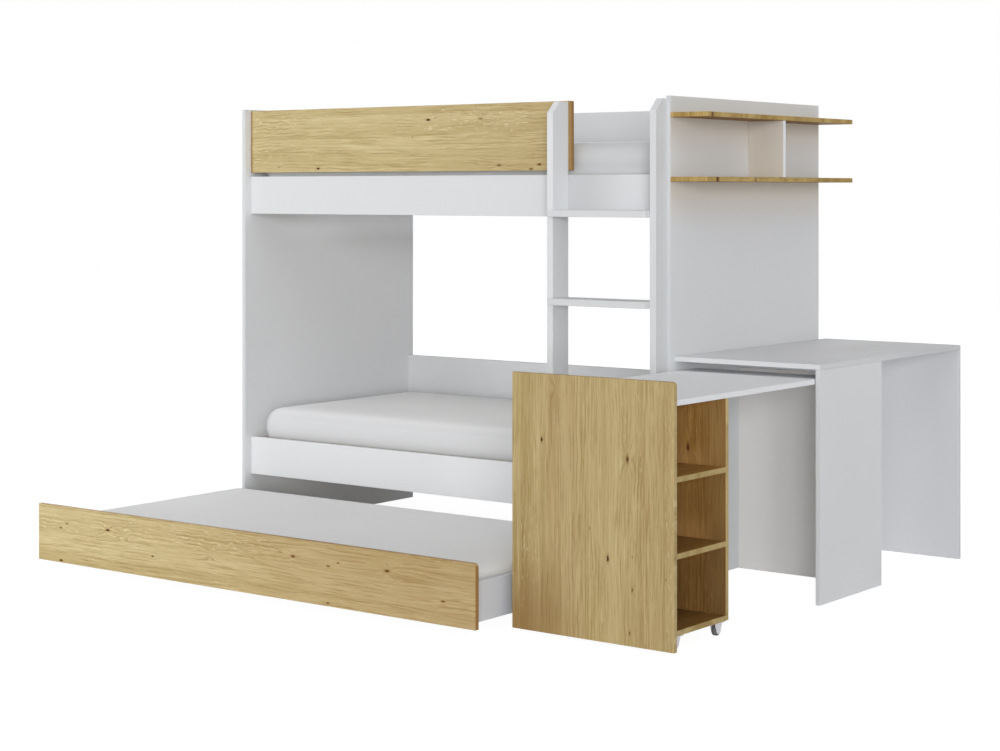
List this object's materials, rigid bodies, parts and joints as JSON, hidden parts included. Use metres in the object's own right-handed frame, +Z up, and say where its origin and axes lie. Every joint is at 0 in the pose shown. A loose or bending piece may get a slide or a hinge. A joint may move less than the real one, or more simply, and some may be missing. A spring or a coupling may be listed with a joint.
{
  "type": "bunk bed with trundle and pull-out desk",
  "caption": "Bunk bed with ladder, guard rail, trundle bed on castors, wall shelves, a fixed end desk and a mobile desk with an open cabinet that slides out.",
  "frame": {"origin": "middle of the footprint of the whole object as pictured, with the trundle and the mobile desk out, at floor level", "axes": "+X along the bed towards the desk, +Y from the open front of the bed to its back, +Z up"},
  "size_m": [2.503, 2.0825, 1.615],
  "materials": {
    "white_laminate": "white melamine-faced board, satin",
    "light_oak": "light oak decor with fine grain, satin",
    "slat_wood": "plain untreated softwood slats on woven tapes",
    "mattress_fabric": "pale woven mattress cover",
    "castor_plastic": "pale grey moulded plastic",
    "castor_tread": "dark soft wheel"
  },
  "bodies": {
    "bed_frame": {"left_end_panel": "white_laminate", "right_end_panel": "white_laminate", "upper_front_rail": "white_laminate", "front_guard_rail": "light_oak", "upper_back_board": "white_laminate", "lower_front_rail": "white_laminate", "lower_back_panel": "white_laminate", "ladder_left_upright": "white_laminate", "ladder_right_upright": "white_laminate", "ladder_step_1": "white_laminate", "ladder_step_2": "white_laminate", "ladder_step_3": "white_laminate", "ladder_step_4": "white_laminate", "upper_front_slat_batten": "slat_wood", "upper_back_slat_batten": "slat_wood", "lower_front_slat_batten": "slat_wood", "lower_back_slat_batten": "slat_wood", "upper_slat_roll": "slat_wood", "lower_slat_roll": "slat_wood", "upper_mattress": "mattress_fabric", "lower_mattress": "mattress_fabric", "upper_wall_shelf": "light_oak", "lower_wall_shelf": "light_oak", "shelf_divider": "white_laminate", "desk_top": "white_laminate", "desk_side_leg": "white_laminate", "desk_mid_panel": "white_laminate", "desk_back_panel": "white_laminate"},
    "mobile_desk": {"mobile_front_panel": "light_oak", "mobile_top": "white_laminate", "cabinet_side_board": "light_oak", "cabinet_back_board": "light_oak", "cabinet_bottom": "light_oak", "cabinet_shelf_1": "light_oak", "cabinet_shelf_2": "light_oak", "mobile_castor_front_left": "castor_plastic", "mobile_castor_front_right": "castor_plastic", "mobile_castor_back_left": "castor_plastic", "mobile_castor_back_right": "castor_plastic"},
    "trundle": {"trundle_front_panel": "light_oak", "trundle_left_side": "white_laminate", "trundle_right_side": "white_laminate", "trundle_back_board": "white_laminate", "trundle_base_board": "white_laminate", "trundle_mattress": "mattress_fabric", "trundle_castor_front_left": "castor_plastic", "trundle_castor_front_right": "castor_plastic", "trundle_castor_back_left": "castor_plastic", "trundle_castor_back_right": "castor_plastic"},
    "mobile_wheel_front_left": {"mobile_wheel_front_left": "castor_tread"},
    "mobile_wheel_front_right": {"mobile_wheel_front_right": "castor_tread"},
    "mobile_wheel_back_left": {"mobile_wheel_back_left": "castor_tread"},
    "mobile_wheel_back_right": {"mobile_wheel_back_right": "castor_tread"},
    "trundle_wheel_front_left": {"trundle_wheel_front_left": "castor_tread"},
    "trundle_wheel_front_right": {"trundle_wheel_front_right": "castor_tread"},
    "trundle_wheel_back_left": {"trundle_wheel_back_left": "castor_tread"},
    "trundle_wheel_back_right": {"trundle_wheel_back_right": "castor_tread"}
  },
  "joints": [
    {"name": "trundle_slide", "type": "slide", "parent": "bed_frame", "child": "trundle", "axis": [0, 1, 0], "range_m": [0, 1.0324]},
    {"name": "mobile_desk_slide", "type": "slide", "parent": "bed_frame", "child": "mobile_desk", "axis": [0, 1, 0], "range_m": [0, 0.831]},
    {"name": "mobile_wheel_front_left_turn", "type": "hinge", "parent": "mobile_desk", "child": "mobile_wheel_front_left", "pos_m": [0.7235, -0.78775, 0.0165], "axis": [1, 0, 0], "continuous": true},
    {"name": "mobile_wheel_front_right_turn", "type": "hinge", "parent": "mobile_desk", "child": "mobile_wheel_front_right", "pos_m": [1.1985, -0.78775, 0.0165], "axis": [1, 0, 0], "continuous": true},
    {"name": "mobile_wheel_back_left_turn", "type": "hinge", "parent": "mobile_desk", "child": "mobile_wheel_back_left", "pos_m": [0.7235, -0.55975, 0.0165], "axis": [1, 0, 0], "continuous": true},
    {"name": "mobile_wheel_back_right_turn", "type": "hinge", "parent": "mobile_desk", "child": "mobile_wheel_back_right", "pos_m": [1.1985, -0.55975, 0.0165], "axis": [1, 0, 0], "continuous": true},
    {"name": "trundle_wheel_front_left_turn", "type": "hinge", "parent": "trundle", "child": "trundle_wheel_front_left", "pos_m": [-1.1015, -0.92525, 0.0165], "axis": [1, 0, 0], "continuous": true},
    {"name": "trundle_wheel_front_right_turn", "type": "hinge", "parent": "trundle", "child": "trundle_wheel_front_right", "pos_m": [0.5505, -0.92525, 0.0165], "axis": [1, 0, 0], "continuous": true},
    {"name": "trundle_wheel_back_left_turn", "type": "hinge", "parent": "trundle", "child": "trundle_wheel_back_left", "pos_m": [-1.1015, -0.19825, 0.0165], "axis": [1, 0, 0], "continuous": true},
    {"name": "trundle_wheel_back_right_turn", "type": "hinge", "parent": "trundle", "child": "trundle_wheel_back_right", "pos_m": [0.5505, -0.19825, 0.0165], "axis": [1, 0, 0], "continuous": true}
  ],
  "couplings": [
    {"joint": "mobile_wheel_front_left_turn", "follows": "mobile_desk_slide", "rad_per_m": -60.606},
    {"joint": "mobile_wheel_front_right_turn", "follows": "mobile_desk_slide", "rad_per_m": -60.606},
    {"joint": "mobile_wheel_back_left_turn", "follows": "mobile_desk_slide", "rad_per_m": -60.606},
    {"joint": "mobile_wheel_back_right_turn", "follows": "mobile_desk_slide", "rad_per_m": -60.606},
    {"joint": "trundle_wheel_front_left_turn", "follows": "trundle_slide", "rad_per_m": -60.606},
    {"joint": "trundle_wheel_front_right_turn", "follows": "trundle_slide", "rad_per_m": -60.606},
    {"joint": "trundle_wheel_back_left_turn", "follows": "trundle_slide", "rad_per_m": -60.606},
    {"joint": "trundle_wheel_back_right_turn", "follows": "trundle_slide", "rad_per_m": -60.606}
  ]
}
